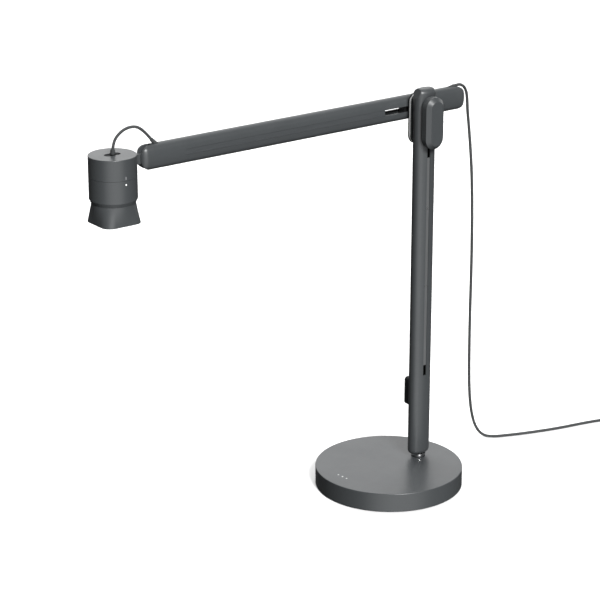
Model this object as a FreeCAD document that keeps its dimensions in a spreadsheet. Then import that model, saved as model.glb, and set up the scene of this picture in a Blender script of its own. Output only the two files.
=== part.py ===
import FreeCAD
import Part
import Sketcher
import math
import os
import re
from FreeCAD import Placement, Rotation, Vector

# Swing arm desk lamp. Millimetres, +Z up, origin at the centre of the base's underside.
# The arm (beam) runs along X with the lamp head at its -X end; the joint's shaft runs along Y.

# Driving dimensions, all kept in the spreadsheet under these names.
SIZES = {
    # base
    "base_radius": 105.0,
    "base_top": 28.0,
    "cover_wall": 3.0,
    "foot_high": 2.5,
    "plate_high": 2.0,
    "weight_radius": 92.0,
    "base_screw_ring": 70.0,
    # swivel under the post
    "swivel_bore": 7.05,
    "swivel_neck": 7.0,
    "swivel_stud": 5.0,
    "collar_radius": 10.5,
    # post
    "post_offset": 54.1,
    "post_low": 33.0,
    "post_high": 573.0,
    "post_half_wide": 16.75,
    "post_half_deep": 11.25,
    "post_side_radius": 10.2,
    "arm_wall": 2.0,
    "cap_long": 17.0,
    "cap_round": 7.0,
    "shoulder_wide": 5.6,
    "shoulder_tall": 13.0,
    "beam_end_radius": 17.0,
    "beam_cap_round": 9.3,
    "slot_wide": 5.2,
    "slot_low": 155.0,
    "post_strip_low": 170.5,
    "post_strip_high": 476.0,
    "strip_thick": 1.4,
    "strip_sunk": 0.9,
    "strip_side_gap": 0.1,
    # cord clip low on the post
    "clip_wide": 20.0,
    "clip_tall": 42.0,
    "clip_middle": 124.0,
    "clip_deep": 22.5,
    # joint between post and beam
    "joint_high": 540.6,
    "shaft_radius": 2.2,
    "shaft_bore": 2.24,
    "pad_wide": 30.6,
    "pad_tall": 73.0,
    "pad_drop": 13.2,
    "knob_back": 13.6,
    "knob_thick": 14.4,
    "knob_chamfer": 5.2,
    "far_wide": 25.6,
    "far_tall": 72.4,
    "far_pad_front": 11.7,
    "far_pad_back": 14.6,
    "far_plate_back": 17.4,
    "far_shim_back": 19.4,
    # beam
    "beam_middle": 32.0,
    "beam_half_tall": 17.0,
    "beam_half_deep": 11.0,
    "beam_side_radius": 10.0,
    "beam_front": 389.5,
    "beam_back": 148.0,
    "beam_slot_tall": 8.0,
    "beam_slot_front": 323.5,
    "beam_slot_back": 95.0,
    "beam_strip_back": 2.7,
    "beam_spacer_back": 6.0,
    # head
    "pin_reach": 378.5,
    "pin_radius": 2.5,
    "pin_bore": 2.53,
    "lug_thick": 7.2,
    "lug_radius": 6.5,
    "fork_slot": 7.6,
    "fork_depth": 19.0,
    "head_reach": 428.4,
    "head_radius": 31.3,
    "head_top": 552.6,
    "head_seam": 525.2,
    "ring_low": 495.7,
    "neck_top": 490.3,
    "neck_radius": 28.8,
    "shade_low": 464.0,
    "shade_side": 57.0,
    "shade_corner": 14.0,
    "core_radius": 26.4,
    "ring_bore": 26.5,
    # cord
    "cord_radius": 2.1,
    "lead_radius": 2.0,
    "coil_mean_radius": 23.1,
    "plug_long": 36.0,
    "plug_wide": 28.0,
    "plug_thick": 13.7,
}

UPRIGHT = Rotation()
FACING_FRONT = Rotation(Vector(1, 0, 0), 90)  # local z to -Y, local y to +Z
FACING_BACK = Rotation(Vector(1, 0, 0), -90)  # local z to +Y
# Local z to +X, local x to +Z.
ALONG_BEAM = Rotation(Vector(0, 0, 1), Vector(0, -1, 0), Vector(1, 0, 0), "ZXY")
QUARTER = math.pi / 2

doc = FreeCAD.newDocument("SwingArmLamp")
sheet = doc.addObject("Spreadsheet::Sheet", "sizes")
for row, (word, value) in enumerate(SIZES.items(), 1):
    sheet.set("A%d" % row, word)
    sheet.set("B%d" % row, str(value))
    sheet.setAlias("B%d" % row, word)
doc.recompute()

nodes = []


def size(word):
    """Read one driving dimension from the sheet."""
    return float(sheet.get(word))


def link(text):
    """Point the size names in an expression at the sheet."""

    def pointed(hit):
        word = hit.group()
        return "sizes." + word if word in SIZES else word

    return re.sub(r"[a-z_]+", pointed, text)


def keep(piece):
    """Mark an object as a finished sub-part, written out under its label."""
    nodes.append(piece)
    return piece


# ---------------------------------------------------------------- primitives and booleans


def primitive(kind, label, at, turn, bound):
    piece = doc.addObject(kind, label)
    piece.Placement = Placement(Vector(*at), turn)
    for name, text in bound.items():
        piece.setExpression(name, link(text))
    return piece


def cylinder(label, radius, height, at, turn=UPRIGHT):
    return primitive("Part::Cylinder", label, at, turn, {"Radius": radius, "Height": height})


def cone(label, low_radius, high_radius, height, at, turn=UPRIGHT):
    bound = {"Radius1": low_radius, "Radius2": high_radius, "Height": height}
    return primitive("Part::Cone", label, at, turn, bound)


def box(label, long, deep, tall, at):
    """A box from its lowest corner."""
    return primitive("Part::Box", label, at, UPRIGHT, {"Length": long, "Width": deep, "Height": tall})


def hexagon(label, corner_radius, height, at, turn=UPRIGHT):
    piece = primitive("Part::Prism", label, at, turn, {"Circumradius": corner_radius, "Height": height})
    piece.Polygon = 6
    return piece


def fuse(label, *pieces):
    joined = doc.addObject("Part::MultiFuse", label)
    joined.Shapes = list(pieces)
    joined.Refine = True
    return joined


def cut(label, base, *tools):
    """The base less its tools."""
    result = doc.addObject("Part::Cut", label)
    result.Base = base
    result.Tool = tools[0] if len(tools) == 1 else fuse(label + "_tools", *tools)
    return result


def common(label, first, second):
    """What two pieces share."""
    both = doc.addObject("Part::Common", label)
    both.Base = first
    both.Tool = second
    return both


def tube(label, outer, inner, height, at, turn=UPRIGHT):
    """A round sleeve whose bore runs right through."""
    return cut(
        label,
        cylinder(label + "_outside", outer, height, at, turn),
        cylinder(label + "_bore", inner, height, at, turn),
    )


def edges_at(feature, height):
    """Names of a feature's flat edges at one local height."""
    names = []
    for number, edge in enumerate(feature.Shape.Edges, 1):
        flat = edge.BoundBox.ZLength < 0.01
        if flat and abs(edge.CenterOfMass.z - height) < 0.01:
            names.append("Edge%d" % number)
    return names


# ---------------------------------------------------------------- sketched bodies


def new_body(label, at, turn=UPRIGHT):
    body = doc.addObject("PartDesign::Body", label)
    body.Placement = Placement(Vector(*at), turn)
    return body


def new_sketch(body, name, lift=0.0):
    """A sketch on the body's own XY plane, raised by lift."""
    sketch = body.newObject("Sketcher::SketchObject", name)
    plane = next(item for item in body.Origin.OriginFeatures if item.Role == "XY_Plane")
    sketch.AttachmentSupport = [(plane, "")]
    sketch.MapMode = "FlatFace"
    sketch.AttachmentOffset = Placement(Vector(0, 0, lift), Rotation())
    return sketch


def add_arc(sketch, x, y, radius, first, last):
    circle = Part.Circle(Vector(x, y, 0), Vector(0, 0, 1), radius)
    return sketch.addGeometry(Part.ArcOfCircle(circle, first, last), False)


def add_line(sketch, start, end):
    return sketch.addGeometry(Part.LineSegment(Vector(*start, 0), Vector(*end, 0)), False)


def dimension(sketch, name, constraint, text):
    """Add a dimension and bind it to the sheet."""
    index = sketch.addConstraint(constraint)
    sketch.renameConstraint(index, name)
    sketch.setExpression("Constraints." + name, link(text))


def crowned_outline(sketch, half_long, half_deep, side_radius):
    """The arms' section: tight round sides joined by gently crowned faces.

    The three sizes are pairs of an expression for the sheet and its value now.
    """
    side_centre = half_long[1] - side_radius[1]
    spare = half_deep[1] - side_radius[1]
    crown = (side_centre**2 + half_deep[1] ** 2 - side_radius[1] ** 2) / (2 * spare)
    crown_centre = half_deep[1] - crown
    lean = math.atan2(side_centre, -crown_centre)
    add_arc(sketch, side_centre, 0, side_radius[1], lean - QUARTER, QUARTER - lean)
    add_arc(sketch, 0, crown_centre, crown, QUARTER - lean, QUARTER + lean)
    add_arc(sketch, -side_centre, 0, side_radius[1], QUARTER + lean, 3 * QUARTER - lean)
    add_arc(sketch, 0, -crown_centre, crown, 3 * QUARTER - lean, 3 * QUARTER + lean)
    for arc in range(4):
        meeting = "Tangent" if arc < 3 else "Coincident"
        sketch.addConstraint(Sketcher.Constraint(meeting, arc, 2, (arc + 1) % 4, 1))
    for arc in range(3):
        sketch.addConstraint(Sketcher.Constraint("PointOnObject", arc, 3, -1 - arc % 2))
    reach = "(%s - %s)" % (half_long[0], side_radius[0])
    dimension(sketch, "side", Sketcher.Constraint("Radius", 0, side_radius[1]), side_radius[0])
    dimension(sketch, "reach", Sketcher.Constraint("DistanceX", -1, 1, 0, 3, side_centre), reach)
    dimension(sketch, "far_reach", Sketcher.Constraint("DistanceX", 2, 3, -1, 1, side_centre), reach)
    rule = "({r}^2 + {d}^2 - {s}^2) / (2 * ({d} - {s}))".format(r=reach, d=half_deep[0], s=side_radius[0])
    dimension(sketch, "crown", Sketcher.Constraint("Radius", 1, crown), rule)


def stadium_outline(sketch, wide, tall):
    """An upright slot shape: two sides and two round ends."""
    radius = size_of(wide) / 2
    reach = size_of(tall) / 2 - radius
    add_arc(sketch, 0, reach, radius, 0, 2 * QUARTER)
    add_line(sketch, (-radius, reach), (-radius, -reach))
    add_arc(sketch, 0, -reach, radius, 2 * QUARTER, 4 * QUARTER)
    add_line(sketch, (radius, -reach), (radius, reach))
    for item in range(4):
        sketch.addConstraint(Sketcher.Constraint("Tangent", item, 2, (item + 1) % 4, 1))
    for item in (0, 2):
        sketch.addConstraint(Sketcher.Constraint("PointOnObject", item, 3, -2))
    sketch.addConstraint(Sketcher.Constraint("Equal", 0, 2))
    dimension(sketch, "round", Sketcher.Constraint("Radius", 0, radius), "(%s) / 2" % wide)
    span = "((%s) - (%s)) / 2" % (tall, wide)
    dimension(sketch, "up", Sketcher.Constraint("DistanceY", -1, 1, 0, 3, reach), span)
    dimension(sketch, "down", Sketcher.Constraint("DistanceY", 2, 3, -1, 1, reach), span)


def rounded_square(sketch, side, corner):
    """A square with round corners, as four sides and four corner arcs."""
    half = side / 2
    inner = half - corner
    for turn in range(4):
        first = turn * QUARTER
        cos, sin = round(math.cos(first)), round(math.sin(first))
        start = (half * cos + inner * sin, half * sin - inner * cos)
        end = (half * cos - inner * sin, half * sin + inner * cos)
        add_line(sketch, start, end)
        middle = (inner * (cos - sin), inner * (sin + cos))
        add_arc(sketch, *middle, corner, first, first + QUARTER)
    join_chain(sketch, 8)


def split_circle(sketch, radius, side, corner):
    """A circle split where the matching rounded square's sides and corners meet."""
    lean = math.atan2(side / 2 - corner, side / 2)
    for turn in range(4):
        first = turn * QUARTER
        add_arc(sketch, 0, 0, radius, first - lean, first + lean)
        add_arc(sketch, 0, 0, radius, first + lean, first + QUARTER - lean)
    join_chain(sketch, 8)


def join_chain(sketch, count):
    for item in range(count):
        sketch.addConstraint(Sketcher.Constraint("Coincident", item, 2, (item + 1) % count, 1))


def pad(body, sketch, length, backwards=False):
    feature = body.newObject("PartDesign::Pad", sketch.Name + "_pad")
    feature.Profile = sketch
    feature.setExpression("Length", link(length))
    feature.Reversed = backwards
    sketch.Visibility = False
    doc.recompute()
    return feature


def round_edges(body, feature, height, radius):
    fillet = body.newObject("PartDesign::Fillet", body.Name + "_round")
    fillet.Base = (feature, edges_at(feature, height))
    fillet.setExpression("Radius", link(radius))
    doc.recompute()
    return fillet


def bevel_edges(body, feature, height, width):
    chamfer = body.newObject("PartDesign::Chamfer", body.Name + "_bevel")
    chamfer.Base = (feature, edges_at(feature, height))
    chamfer.setExpression("Size", link(width))
    doc.recompute()
    return chamfer


def size_of(text):
    """Value of a size or a plain number, or of one less or plus a plain number."""
    parts = text.split()
    value = size(parts[0]) if parts[0] in SIZES else float(parts[0])
    if len(parts) == 3:
        step = float(parts[2])
        value += step if parts[1] == "+" else -step
    return value


def crowned_bar(label, section, inset, length, at, turn):
    """A straight bar of an arm's section, drawn in by inset all round."""
    body = new_body(label, at, turn)
    sketch = new_sketch(body, label + "_section")
    drawn = [("%s - %s" % (word, inset), size(word) - inset) for word in section]
    crowned_outline(sketch, *[("(%s)" % text, value) for text, value in drawn])
    pad(body, sketch, length)
    return body


def arm_tube(label, section, length, at, turn):
    """The hollow extrusion of an arm."""
    outside = crowned_bar(label + "_outside", section, 0, length, at, turn)
    inside = crowned_bar(label + "_inside", section, size("arm_wall"), length, at, turn)
    return cut(label + "_extrusion", outside, inside)


def end_cap(label, section, rounding, at, turn):
    """A rounded end cap with the spigot that plugs into its arm. Local z points outwards."""
    body = new_body(label, at, turn)
    outline = new_sketch(body, label + "_outline")
    crowned_outline(outline, *[("(%s)" % word, size(word)) for word in section])
    dome = pad(body, outline, "cap_long")
    round_edges(body, dome, size("cap_long"), rounding)
    inset = size("arm_wall") + 0.1
    spigot = new_sketch(body, label + "_spigot")
    drawn = [("(%s - %s)" % (word, inset), size(word) - inset) for word in section]
    crowned_outline(spigot, *drawn)
    pad(body, spigot, "cap_long * 0.6", backwards=True)
    return body


def stadium_plate(label, wide, tall, thick, at, turn=FACING_FRONT):
    """A flat plate with round ends; its thickness goes towards the front."""
    body = new_body(label, at, turn)
    sketch = new_sketch(body, label + "_outline")
    stadium_outline(sketch, wide, tall)
    pad(body, sketch, thick)
    return body


POST_SECTION = ("post_half_wide", "post_half_deep", "post_side_radius")
BEAM_SECTION = ("beam_half_tall", "beam_half_deep", "beam_side_radius")

post_x = size("post_offset")
joint_z = size("joint_high")
beam_y = size("beam_middle")
base_top = size("base_top")


# ---------------------------------------------------------------- base


def ring_places(radius, count, first=QUARTER / 3):
    """Points spaced evenly round the base's centre."""
    for number in range(count):
        angle = first + number * 4 * QUARTER / count
        yield radius * math.cos(angle), radius * math.sin(angle)


def make_base():
    foot = size("foot_high")
    plate_top = foot + size("plate_high")
    under = base_top - size("cover_wall")
    screws = list(ring_places(size("base_screw_ring"), 3))

    pad_disc = cylinder("foot_disc", "base_radius - 5", "foot_high", (0, 0, 0))
    access = cylinder("foot_access", "collar_radius + 1", "foot_high", (post_x, 0, 0))
    holes = [
        cylinder("foot_hole_%d" % n, "swivel_stud", "foot_high", (x, y, 0)) for n, (x, y) in enumerate(screws)
    ]
    keep(cut("foot_pad", pad_disc, access, *holes))

    plate = cylinder("plate_disc", "base_radius - cover_wall - 0.5", "plate_high", (0, 0, foot))
    access = cylinder("plate_access", "collar_radius + 1", "plate_high", (post_x, 0, foot))
    sinks = [
        cone("plate_sink_%d" % n, "4", "2", "plate_high", (x, y, foot)) for n, (x, y) in enumerate(screws)
    ]
    keep(cut("bottom_plate", plate, access, *sinks))

    weight = cylinder("weight_disc", "weight_radius", "%s" % (under - plate_top), (0, 0, plate_top))
    well = cylinder("weight_well", "14", "%s" % (under - plate_top), (post_x, 0, plate_top))
    taps = [
        cylinder("weight_tap_%d" % n, "2", "10", (x, y, plate_top)) for n, (x, y) in enumerate(screws)
    ]
    keep(cut("base_weight", weight, well, *taps))

    bolts = []
    for n, (x, y) in enumerate(screws):
        head = cone("screw_head_%d" % n, "4", "2", "plate_high", (x, y, foot))
        shank = cylinder("screw_shank_%d" % n, "2", "9", (x, y, plate_top))
        recess = hexagon("screw_recess_%d" % n, "1.4", "1.2", (x, y, foot))
        bolts.append(cut("base_screw_%d" % n, fuse("screw_blank_%d" % n, head, shank), recess))
    keep(fuse("base_screws", *bolts))

    shell = new_body("cover_shell", (0, 0, 1.2))
    disc = new_sketch(shell, "cover_disc")
    disc.addGeometry(Part.Circle(Vector(0, 0, 0), Vector(0, 0, 1), size("base_radius")), False)
    disc.addConstraint(Sketcher.Constraint("Coincident", 0, 3, -1, 1))
    dimension(disc, "rim", Sketcher.Constraint("Radius", 0, size("base_radius")), "base_radius")
    body = pad(shell, disc, "base_top - 1.2")
    round_edges(shell, body, base_top - 1.2, "1.2")
    hollow = cylinder("cover_hollow", "base_radius - cover_wall", "base_top - cover_wall", (0, 0, 0))
    bore = cylinder("cover_bore", "swivel_neck + 2", "base_top + 5", (post_x, 0, 0))
    keep(cut("base_cover", shell, hollow, bore))

    sleeve = cylinder("bush_sleeve", "swivel_neck + 2", "cover_wall", (post_x, 0, under))
    flange = cylinder("bush_flange", "swivel_neck + 3", "1", (post_x, 0, base_top))
    bore = cylinder("bush_bore", "swivel_bore", "10", (post_x, 0, under - 1))
    keep(cut("swivel_bush", fuse("bush_blank", sleeve, flange), bore))


# ---------------------------------------------------------------- post


def make_swivel():
    """The stud that the post turns on, with the parts that hold it down under the cover."""
    under = base_top - size("cover_wall")
    low = size("post_low")
    thread = cylinder("stud_thread", "swivel_stud", "16", (post_x, 0, under - 16))
    neck = cylinder("stud_neck", "swivel_neck", "post_low - 25", (post_x, 0, under))
    thrust = cylinder("stud_thrust", "swivel_neck + 1.6", "0.8", (post_x, 0, base_top + 1.05))
    upper = cylinder("stud_upper", "swivel_stud", "15", (post_x, 0, low))
    keep(fuse("swivel_stud_bolt", thread, neck, thrust, upper))
    keep(tube("swivel_collar", "collar_radius", "swivel_neck", "1.6", (post_x, 0, low - 1.6)))
    keep(tube("swivel_washer", "12", "swivel_stud", "1.5", (post_x, 0, under - 1.55)))
    nut_low = under - 1.55 - 8
    nut = hexagon("nut_blank", "9.8", "8", (post_x, 0, nut_low))
    bore = cylinder("nut_bore", "swivel_stud", "8", (post_x, 0, nut_low))
    keep(cut("swivel_nut", nut, bore))


def post_strip(label, front, plain_low, plain_high):
    """One cover strip in the post's slot; front is -1 for the front face, +1 for the rear."""
    thick = size("strip_thick")
    outer = size("post_half_deep") - size("strip_sunk")
    low = outer - thick if front > 0 else -outer
    wide = size("slot_wide") - 2 * size("strip_side_gap")
    strip = box(
        label + "_bar",
        "slot_wide - 2 * strip_side_gap",
        "strip_thick",
        "post_strip_high - post_strip_low",
        (post_x - wide / 2, low, size("post_strip_low")),
    )
    holes = [
        cylinder("%s_hole_%d" % (label, n), "1.5", "strip_thick", (post_x, low, z), FACING_BACK)
        for n, z in enumerate((plain_low, plain_high))
    ]
    return keep(cut(label, strip, *holes))


def shoulder_cut(side):
    """A leaning block that takes one shoulder off the post's top cap."""
    wide = size("shoulder_wide")
    tall = size("shoulder_tall")
    lean = side * math.degrees(math.atan2(wide, tall))
    block = box("cap_shoulder_%d" % (side + 1), "30", "60", "60", (0, 0, 0))
    turn = Rotation(Vector(0, 1, 0), -lean)
    middle = Vector(post_x + side * (size("post_half_wide") - wide / 2), 0, size("post_high") - tall / 2)
    block.Placement = Placement(middle + turn.multVec(Vector(0 if side > 0 else -30, -30, -30)), turn)
    return block


def make_post():
    low = size("post_low")
    high = size("post_high")
    cap = size("cap_long")
    extrusion = arm_tube(
        "post", POST_SECTION, "post_high - post_low - 2 * cap_long", (post_x, 0, low + cap), UPRIGHT
    )
    half_slot = size("slot_wide") / 2
    slot = box(
        "post_slot",
        "slot_wide",
        "2 * post_half_deep + 4",
        "post_high - cap_long - slot_low",
        (post_x - half_slot, -size("post_half_deep") - 2, size("slot_low")),
    )
    clip_taps = [
        cylinder("post_tap_%d" % n, "1.5", "4", (post_x - 3, size("post_half_deep") - 3, z), FACING_BACK)
        for n, z in enumerate(clip_screw_heights())
    ]
    keep(cut("post_tube", extrusion, slot, *clip_taps))

    top = end_cap("top_cap_blank", POST_SECTION, "cap_round", (post_x, 0, high - cap), UPRIGHT)
    key_room = box(
        "top_cap_slot",
        "slot_wide",
        "2 * post_half_deep",
        "cap_long",
        (post_x - half_slot, -size("post_half_deep"), high - 2 * cap),
    )
    keep(cut("post_top_cap", top, key_room, *[shoulder_cut(side) for side in (-1, 1)]))
    upside_down = Rotation(Vector(1, 0, 0), 180)
    bottom = end_cap("bottom_cap_blank", POST_SECTION, "cap_round", (post_x, 0, low + cap), upside_down)
    bore = cylinder("bottom_cap_bore", "swivel_stud", "30", (post_x, 0, low - 1))
    keep(cut("post_bottom_cap", bottom, bore))

    screw_low, screw_high = 289.0, 403.0
    post_strip("post_strip_front", -1, screw_low, screw_high)
    post_strip("post_strip_rear", 1, screw_low, screw_high)
    inner = size("post_half_deep") - size("strip_sunk") - size("strip_thick")
    wide = size("slot_wide") - 2 * size("strip_side_gap")
    strip_low = size("post_strip_low")
    bar = box(
        "post_liner_bar",
        "slot_wide - 2 * strip_side_gap",
        "2 * (post_half_deep - strip_sunk - strip_thick)",
        "post_strip_high - post_strip_low",
        (post_x - wide / 2, -inner, strip_low),
    )
    holes = []
    screws = []
    for n, z in enumerate((screw_low, screw_high)):
        holes.append(
            cylinder("liner_hole_%d" % n, "1.2", "2 * post_half_deep", (post_x, -inner - 2, z), FACING_BACK)
        )
        for side, turn in ((-1, FACING_BACK), (1, FACING_FRONT)):
            outer = side * (inner + size("strip_thick"))
            name = "strip_screw_%d_%d" % (n, side + 1)
            head = cylinder(name + "_head", "1.5", "strip_thick", (post_x, outer, z), turn)
            shank = cylinder(name + "_shank", "1.2", "strip_thick + 6", (post_x, outer, z), turn)
            screws.append(fuse(name, head, shank))
    keep(cut("post_liner", bar, *holes))
    keep(fuse("post_strip_screws", *screws))


def clip_screw_heights():
    middle = size("clip_middle")
    return middle - 12, middle + 12


def make_clip():
    """The cord clip low on the post's rear face, with a channel that a cord snaps into."""
    deep = size("clip_deep")
    blank = new_body("clip_blank", (post_x, deep, size("clip_middle")), FACING_FRONT)
    outline = new_sketch(blank, "clip_outline")
    rounded_rectangle(outline, size("clip_wide"), size("clip_tall"), 5.0)
    block = pad(blank, outline, "clip_deep - 8")
    round_edges(blank, block, 0, "1.5")
    saddle = crowned_bar("clip_saddle", POST_SECTION, 0, "clip_tall + 4", (post_x, 0, 101), UPRIGHT)
    channel_y = size("post_half_deep") + 6.5
    channel = cylinder("clip_channel", "cord_radius + 0.2", "50", (post_x + 6, channel_y, 99))
    mouth = box("clip_mouth", "8", "3.4", "50", (post_x + 6, channel_y - 1.7, 99))
    tools = [saddle, channel, mouth]
    screws = []
    for n, z in enumerate(clip_screw_heights()):
        tools.append(cylinder("clip_sink_%d" % n, "3", "4", (post_x - 3, deep + 0.5, z), FACING_FRONT))
        tools.append(cylinder("clip_hole_%d" % n, "1.5", "20", (post_x - 3, deep, z), FACING_FRONT))
        head = cylinder("clip_head_%d" % n, "3", "2", (post_x - 3, deep - 1.5, z), FACING_FRONT)
        shank = cylinder("clip_shank_%d" % n, "1.5", "8.4", (post_x - 3, deep - 3.5, z), FACING_FRONT)
        key = hexagon("clip_key_%d" % n, "1.4", "1", (post_x - 3, deep - 1.5, z), FACING_FRONT)
        screws.append(cut("clip_screw_%d" % n, fuse("clip_screw_blank_%d" % n, head, shank), key))
    keep(cut("cord_clip", blank, *tools))
    keep(fuse("cord_clip_screws", *screws))


def rounded_rectangle(sketch, wide, tall, corner):
    x, y = wide / 2 - corner, tall / 2 - corner
    corners = ((x, y), (-x, y), (-x, -y), (x, -y))
    for number, (cx, cy) in enumerate(corners):
        first = number * QUARTER
        add_arc(sketch, cx, cy, corner, first, first + QUARTER)
        end = (cx + corner * math.cos(first + QUARTER), cy + corner * math.sin(first + QUARTER))
        nx, ny = corners[(number + 1) % 4]
        start_next = (nx + corner * math.cos(first + QUARTER), ny + corner * math.sin(first + QUARTER))
        add_line(sketch, end, start_next)
    join_chain(sketch, 8)


# ---------------------------------------------------------------- joint on the post


def make_joint():
    knob_back = size("knob_back")
    pad_z = joint_z - size("pad_drop")

    # The knob turns on the shaft; its bore stops short of the front face.
    knob = stadium_plate("knob_blank", "pad_wide", "pad_tall", "knob_thick", (post_x, -knob_back, pad_z))
    bevel_edges(knob, knob.Tip, size("knob_thick"), "knob_chamfer")
    seat_place = (post_x, -knob_back, joint_z)
    seat = cylinder("knob_seat", "6", "knob_thick - 3", seat_place, FACING_FRONT)
    keep(cut("clamp_knob", knob, seat))
    keep(tube("knob_insert", "6", "shaft_bore", "knob_thick - 3", seat_place, FACING_FRONT))

    front_face = size("post_half_deep") + 0.35
    glide = stadium_plate("glide_blank", "pad_wide - 9", "40", "1.2", (post_x, -front_face, joint_z - 8))
    hole = cylinder("glide_hole", "shaft_radius", "5", (post_x, -front_face + 1, joint_z), FACING_FRONT)
    keep(cut("front_glide", glide, hole))

    # The key runs in the post's slot and keeps the joint square to the post.
    far_front = size("far_pad_front")
    key = box(
        "key_bar",
        "slot_wide - 0.2",
        "far_pad_front + %s" % front_face,
        "26",
        (post_x - size("slot_wide") / 2 + 0.1, -front_face, joint_z - 20),
    )
    hole = cylinder("key_hole", "shaft_radius", "40", (post_x, -15, joint_z), FACING_BACK)
    keep(cut("slot_key", key, hole))

    layers = (
        ("far_pad", "far_wide - 0.6", "far_tall - 0.6", far_front, size("far_pad_back")),
        ("far_plate", "far_wide - 0.8", "far_tall - 0.8", size("far_pad_back"), size("far_plate_back")),
        ("far_shim", "far_wide", "far_tall", size("far_plate_back"), size("far_shim_back")),
    )
    for label, wide, tall, front, back in layers:
        blank = stadium_plate(label + "_blank", wide, tall, "%s" % (back - front), (post_x, back, pad_z))
        hole = cylinder(label + "_hole", "shaft_radius", "10", (post_x, front - 2, joint_z), FACING_BACK)
        keep(cut(label, blank, hole))

    shaft_front = -(knob_back + size("knob_thick") - 3.2)
    shaft_back = beam_y + size("beam_half_deep") + 9
    shaft_long = "%s" % (shaft_back - shaft_front)
    keep(cylinder("joint_shaft", "shaft_radius", shaft_long, (post_x, shaft_front, joint_z), FACING_BACK))
    nut_front = beam_y + size("beam_half_deep") + 2.0
    nut = hexagon("lock_nut_blank", "5.2", "5", (post_x, nut_front, joint_z), FACING_BACK)
    bore = cylinder("lock_nut_bore", "shaft_radius", "5", (post_x, nut_front, joint_z), FACING_BACK)
    keep(cut("lock_nut", nut, bore))


def make_saddle():
    """The slider that turns on the shaft and guides the beam along its own length."""
    beam_front = beam_y - size("beam_half_deep")
    beam_rear = beam_y + size("beam_half_deep")
    block = box("saddle_block", "28", "14", "20", (post_x - 14, beam_y - 7, joint_z - 10))
    neck_long = "2 * beam_half_deep + 0.2"
    neck_place = (post_x, beam_front - 0.1, joint_z)
    neck = cylinder("saddle_neck", "beam_slot_tall / 2 - 0.1", neck_long, neck_place, FACING_BACK)
    bore = cylinder("saddle_bore", "shaft_bore", "40", (post_x, beam_front - 5, joint_z), FACING_BACK)
    keep(cut("saddle_core", fuse("saddle_blank", block, neck), bore))
    front_place = (post_x, beam_front - 1.3, joint_z)
    rear_place = (post_x, beam_rear + 0.1, joint_z)
    keep(tube("saddle_washer_front", "9", "shaft_bore", "1.2", front_place, FACING_BACK))
    keep(tube("saddle_washer_rear", "9", "shaft_bore", "1.6", rear_place, FACING_BACK))


# ---------------------------------------------------------------- beam


def beam_strip(label, low_y):
    long = size("beam_slot_front") + size("beam_strip_back")
    tall = size("beam_slot_tall") - 2 * size("strip_side_gap")
    return keep(
        box(
            label,
            "beam_slot_front + beam_strip_back",
            "strip_thick",
            "beam_slot_tall - 2 * strip_side_gap",
            (size("beam_strip_back") - long, low_y, joint_z - tall / 2),
        )
    )


def make_beam():
    cap = size("cap_long")
    front_end = -size("beam_front") + cap
    back_end = size("beam_back") - cap
    tube_long = "beam_front + beam_back - 2 * cap_long"
    extrusion = arm_tube("beam", BEAM_SECTION, tube_long, (front_end, beam_y, joint_z), ALONG_BEAM)
    slot = box(
        "beam_slot",
        "beam_slot_front + beam_slot_back",
        "2 * beam_half_deep + 4",
        "beam_slot_tall",
        (-size("beam_slot_front"), beam_y - size("beam_half_deep") - 2, joint_z - size("beam_slot_tall") / 2),
    )
    lead_hole = lead_entry("tube")
    keep(cut("beam_tube", extrusion, slot, lead_hole, relief_hole("tube")))

    front = end_cap(
        "front_cap_blank",
        BEAM_SECTION,
        "beam_cap_round",
        (front_end, beam_y, joint_z),
        Rotation(Vector(0, 0, 1), Vector(0, 1, 0), Vector(-1, 0, 0), "ZXY"),
    )
    fork = box(
        "fork_gap",
        "fork_depth + 1",
        "fork_slot",
        "2 * beam_half_tall + 4",
        (-size("beam_front") - 1, beam_y - size("fork_slot") / 2, joint_z - size("beam_half_tall") - 2),
    )
    pin_front = beam_y - size("beam_half_deep") + 3
    pin_place = (-size("pin_reach"), pin_front, joint_z)
    pin_hole = cylinder("fork_pin_hole", "pin_radius", "30", pin_place, FACING_BACK)
    rounded = common("front_cap_round", front, end_profile("front", -1))
    keep(cut("beam_front_cap", rounded, fork, pin_hole, lead_entry("cap")))
    keep(
        cylinder(
            "hinge_pin",
            "pin_radius",
            "2 * beam_half_deep - 3.5",
            (-size("pin_reach"), pin_front, joint_z),
            FACING_BACK,
        )
    )

    rear = end_cap("rear_cap_blank", BEAM_SECTION, "beam_cap_round", (back_end, beam_y, joint_z), ALONG_BEAM)
    keep(cut("beam_rear_cap", common("rear_cap_round", rear, end_profile("rear", 1)), relief_hole("cap")))

    outer = size("beam_half_deep") - size("strip_sunk")
    inner = outer - size("strip_thick")
    beam_strip("beam_strip_front", beam_y - outer)
    beam_strip("beam_strip_rear", beam_y + inner)
    tall = size("beam_slot_tall") - 2 * size("strip_side_gap")
    keep(
        box(
            "beam_liner",
            "beam_slot_front - beam_spacer_back",
            "2 * (beam_half_deep - strip_sunk - strip_thick)",
            "beam_slot_tall - 2 * strip_side_gap",
            (-size("beam_slot_front"), beam_y - inner, joint_z - tall / 2),
        )
    )
    wire_z = joint_z + 12.7
    lead_start = BEAM_SLEEVE_START[0] + 6
    length = "%s" % (RELIEF_START[0] - 3 - lead_start)
    keep(cylinder("beam_inner_lead", "1.5", length, (lead_start, beam_y, wire_z), ALONG_BEAM))


def end_profile(label, side):
    """The side view of a beam end: a round nose with a long straight run behind it."""
    end = -size("beam_front") if side < 0 else size("beam_back")
    centre = end - side * size("beam_end_radius")
    front = beam_y - 20
    nose = cylinder(label + "_nose", "beam_end_radius", "40", (centre, front, joint_z), FACING_BACK)
    start = centre if side < 0 else centre - 60
    return fuse(label + "_profile", nose, box(label + "_run", "60", "40", "60", (start, front, joint_z - 30)))


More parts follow.
